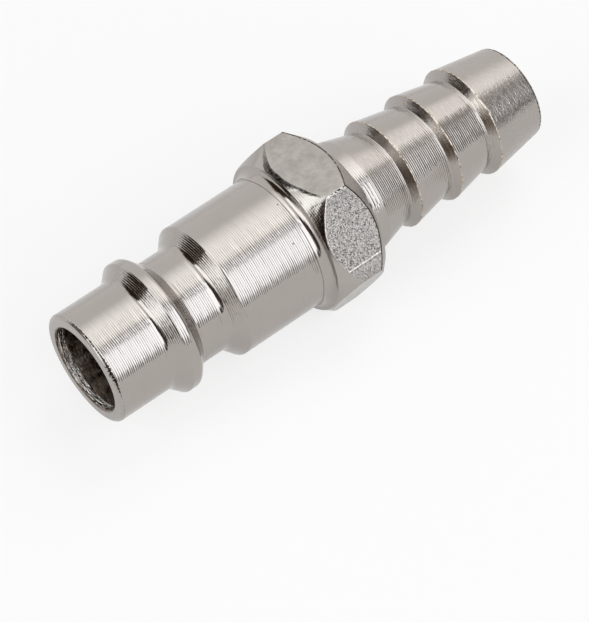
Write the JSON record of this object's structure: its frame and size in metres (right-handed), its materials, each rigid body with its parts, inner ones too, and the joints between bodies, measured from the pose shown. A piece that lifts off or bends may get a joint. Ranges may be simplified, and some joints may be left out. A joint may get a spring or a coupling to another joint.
{
  "type": "quick connect plug",
  "caption": "Turned metal quick connect plug for an air hose: bored nose, locking ring and groove, wrench hexagon and barbed hose tail.",
  "frame": {"origin": "centre of the nose face, on the plug's own axis", "axes": "+X along the plug's axis from the nose to the end of the hose tail, +Z square to one wrench flat, so the plug lies on the flat below, +Y completes the frame"},
  "size_m": [0.0453, 0.0162, 0.014],
  "materials": {
    "plated_metal": "nickel plate over fine turning lines"
  },
  "bodies": {
    "root": {"plug_body": "plated_metal"}
  },
  "joints": []
}
